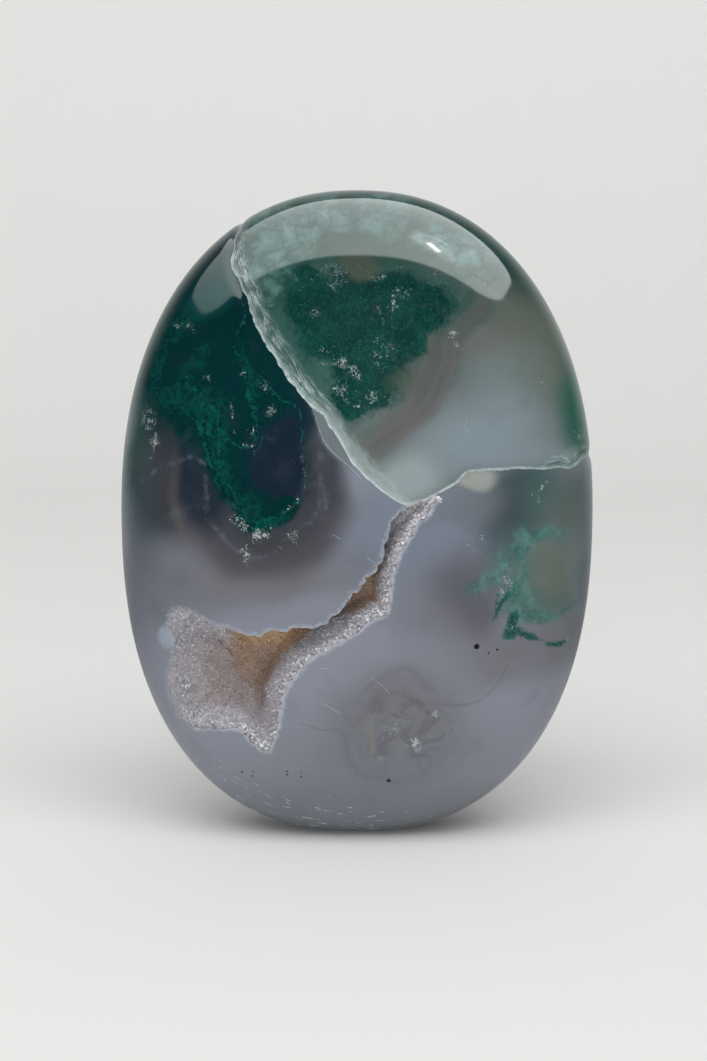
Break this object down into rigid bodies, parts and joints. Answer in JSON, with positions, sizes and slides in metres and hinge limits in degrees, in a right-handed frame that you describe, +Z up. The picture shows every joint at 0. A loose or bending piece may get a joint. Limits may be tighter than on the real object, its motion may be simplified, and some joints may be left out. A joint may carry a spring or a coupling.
{
  "type": "moss agate",
  "caption": "Oval polished moss agate palm stone that stands on a small ground flat, with a crystal-lined hollow in its face.",
  "frame": {"origin": "middle of the small ground flat at the lower end, which the stone stands on", "axes": "+Z up along the stone's height, -Y out of the polished face with the hollow, +X to the right seen from that face"},
  "size_m": [0.0514, 0.028, 0.07],
  "materials": {
    "polished_agate": "high polish, slightly translucent",
    "druzy_quartz": "sparkling fine crystals"
  },
  "bodies": {
    "root": {"agate_stone": "polished_agate", "quartz_crust": "druzy_quartz"}
  },
  "joints": []
}
